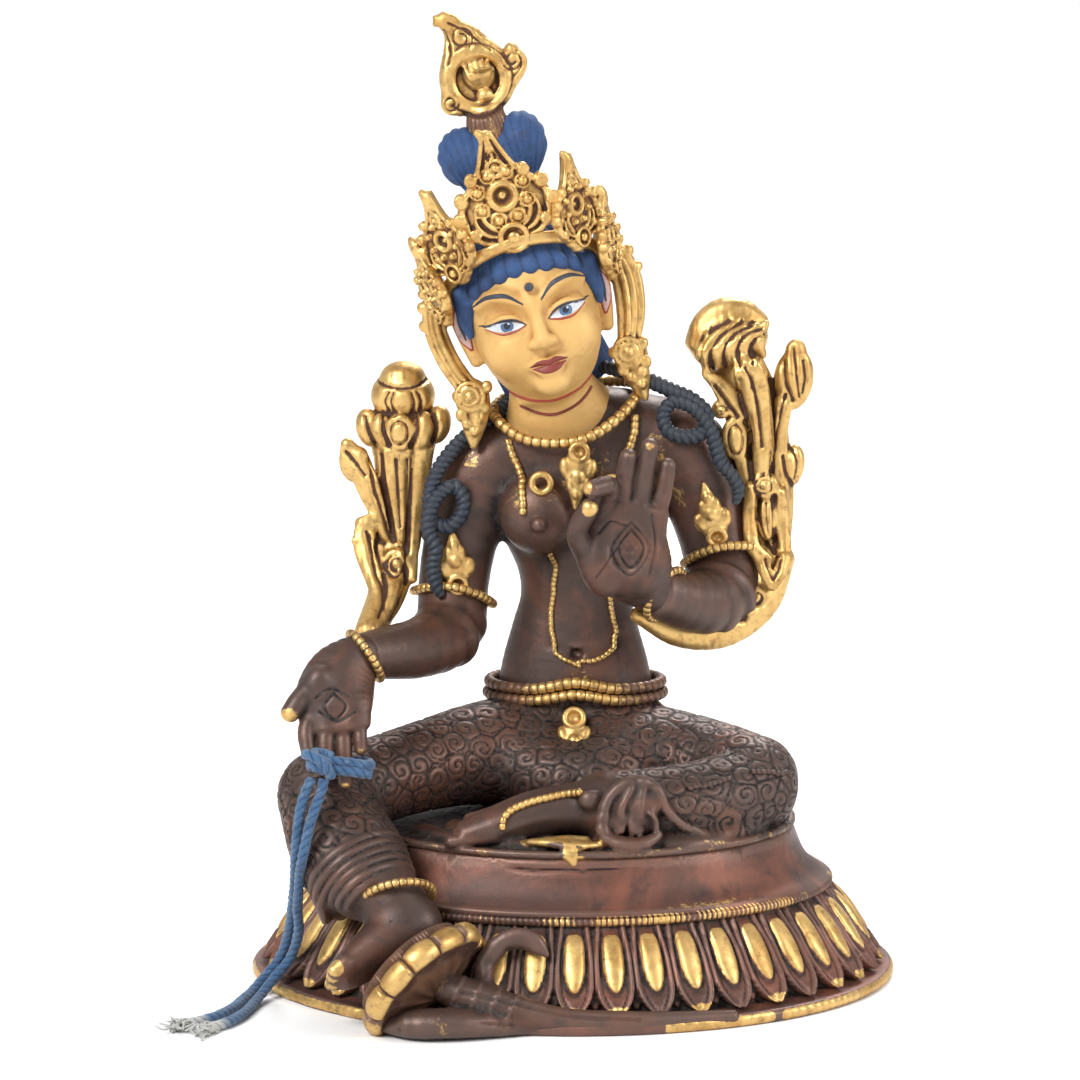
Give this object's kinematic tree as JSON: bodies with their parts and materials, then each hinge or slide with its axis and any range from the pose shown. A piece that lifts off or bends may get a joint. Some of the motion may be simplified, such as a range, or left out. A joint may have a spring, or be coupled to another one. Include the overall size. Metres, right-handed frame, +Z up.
{
  "type": "tara figure",
  "caption": "Seated female deity in cast copper with gilding, a leg lowered onto a small lotus, on an oval lotus base, a cord tied to its hand.",
  "frame": {"origin": "centre of the base's oval underside", "axes": "+Z up through the figure, -Y the side that the face looks to, +X to the viewer's right"},
  "size_m": [0.1548, 0.1275, 0.2108],
  "materials": {
    "patinated_copper": "brown patinated cast copper, worn satin, dust in the recesses",
    "gilt": "fire gilding worn through on the edges, dark in the recesses",
    "face_gold": "matt cold gold paint on face and neck",
    "face_paint": "fine painted features: brows, eyes, lips and neck lines",
    "hair_blue": "matt mineral blue paint on the hair",
    "indigo": "dark worn indigo paint on the tresses",
    "cord": "faded blue twisted cotton with pale frayed ends"
  },
  "bodies": {
    "root": {"lotus_base": "patinated_copper", "figure": "patinated_copper", "crown": "gilt", "cord_knot": "cord", "cord_strand_1": "cord", "cord_strand_2": "cord"}
  },
  "joints": []
}
